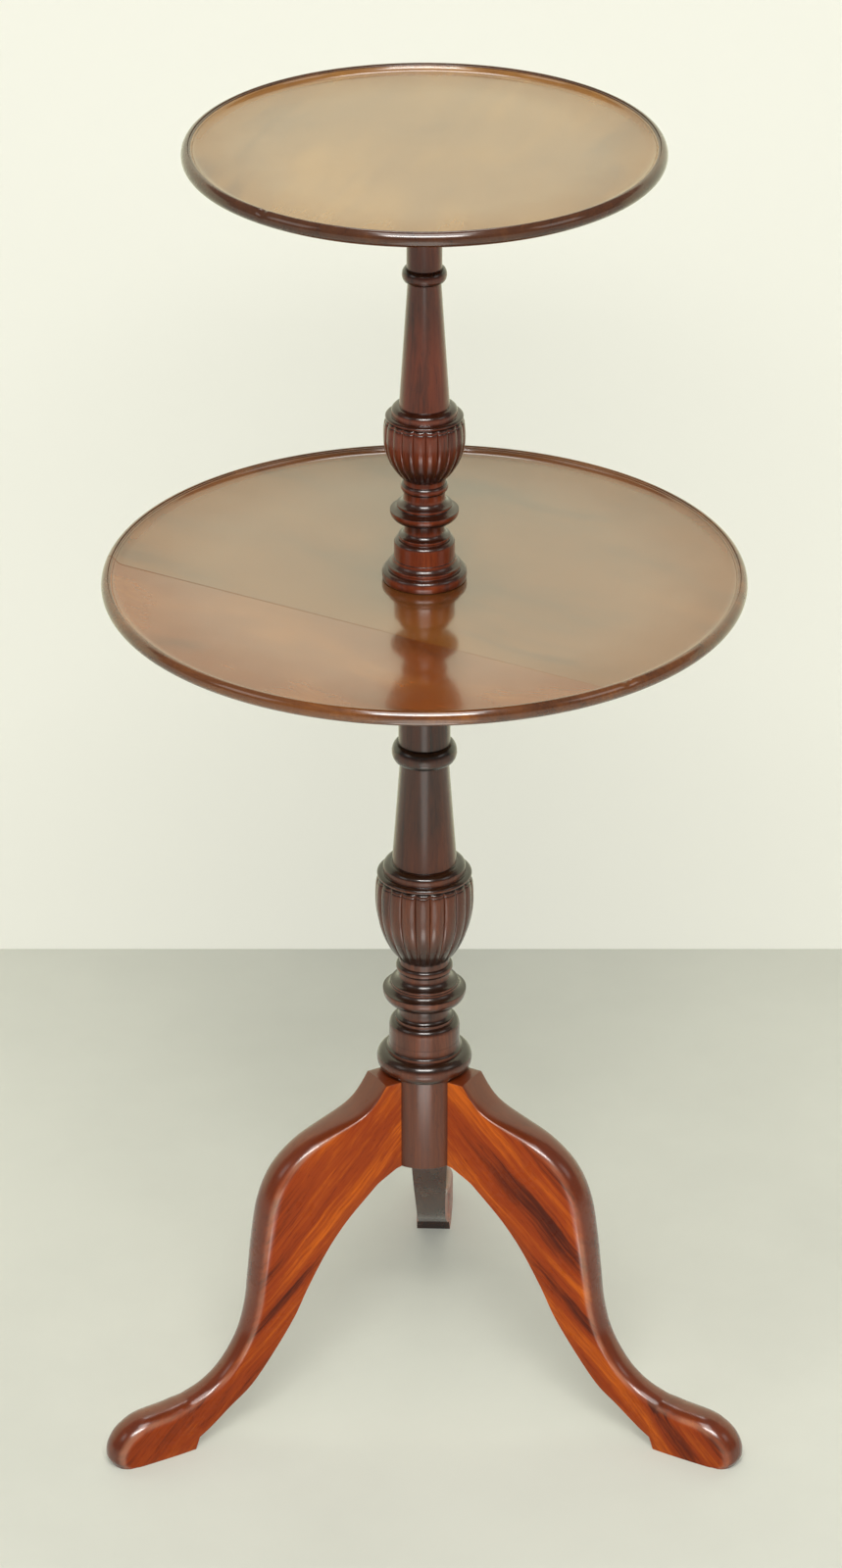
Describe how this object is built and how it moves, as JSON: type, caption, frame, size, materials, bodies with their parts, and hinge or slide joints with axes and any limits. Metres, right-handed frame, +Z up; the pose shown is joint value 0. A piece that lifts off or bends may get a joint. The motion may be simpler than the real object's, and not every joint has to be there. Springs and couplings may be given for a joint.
{
  "type": "dumbwaiter table",
  "caption": "Tall wooden stand with a small and a large round dished tray turning on a turned column with reeded urns, on cabriole tripod legs.",
  "frame": {"origin": "on the floor, under the middle of the table's bounding box; the column's axis stands 20.4 mm in front of it, towards -Y", "axes": "+Z up along the column, -Y towards the two front legs, +Y towards the back leg, +X to the right seen from the front"},
  "size_m": [0.4734, 0.5008, 0.991],
  "materials": {
    "column_mahogany": "dark french polish",
    "leg_mahogany": "red-brown french polish",
    "tray_mahogany": "french polish",
    "bearer_wood": "oiled, unpolished",
    "iron": "blackened",
    "screw_steel": "darkened"
  },
  "bodies": {
    "stand": {"lower_column": "column_mahogany", "upper_column": "column_mahogany", "leg_front_left": "leg_mahogany", "leg_front_right": "leg_mahogany", "leg_back": "leg_mahogany", "leg_plate": "iron", "plate_screw_middle": "screw_steel", "plate_screw_front_left": "screw_steel", "plate_screw_front_right": "screw_steel", "plate_screw_back": "screw_steel"},
    "lower_tray": {"lower_tray_back_board": "tray_mahogany", "lower_tray_front_board": "tray_mahogany", "lower_bearer": "bearer_wood", "lower_bearer_screw_1": "screw_steel", "lower_bearer_screw_2": "screw_steel", "lower_bearer_screw_3": "screw_steel", "lower_bearer_screw_4": "screw_steel"},
    "upper_tray": {"upper_tray_board": "tray_mahogany", "upper_bearer": "bearer_wood", "upper_bearer_screw_1": "screw_steel", "upper_bearer_screw_2": "screw_steel", "upper_bearer_screw_3": "screw_steel", "upper_bearer_screw_4": "screw_steel"}
  },
  "joints": [
    {"name": "lower_tray_turn", "type": "hinge", "parent": "stand", "child": "lower_tray", "pos_m": [0, -0.02042, 0.6525], "axis": [0, 0, 1], "continuous": true},
    {"name": "upper_tray_turn", "type": "hinge", "parent": "stand", "child": "upper_tray", "pos_m": [0, -0.02042, 0.967], "axis": [0, 0, 1], "continuous": true}
  ]
}
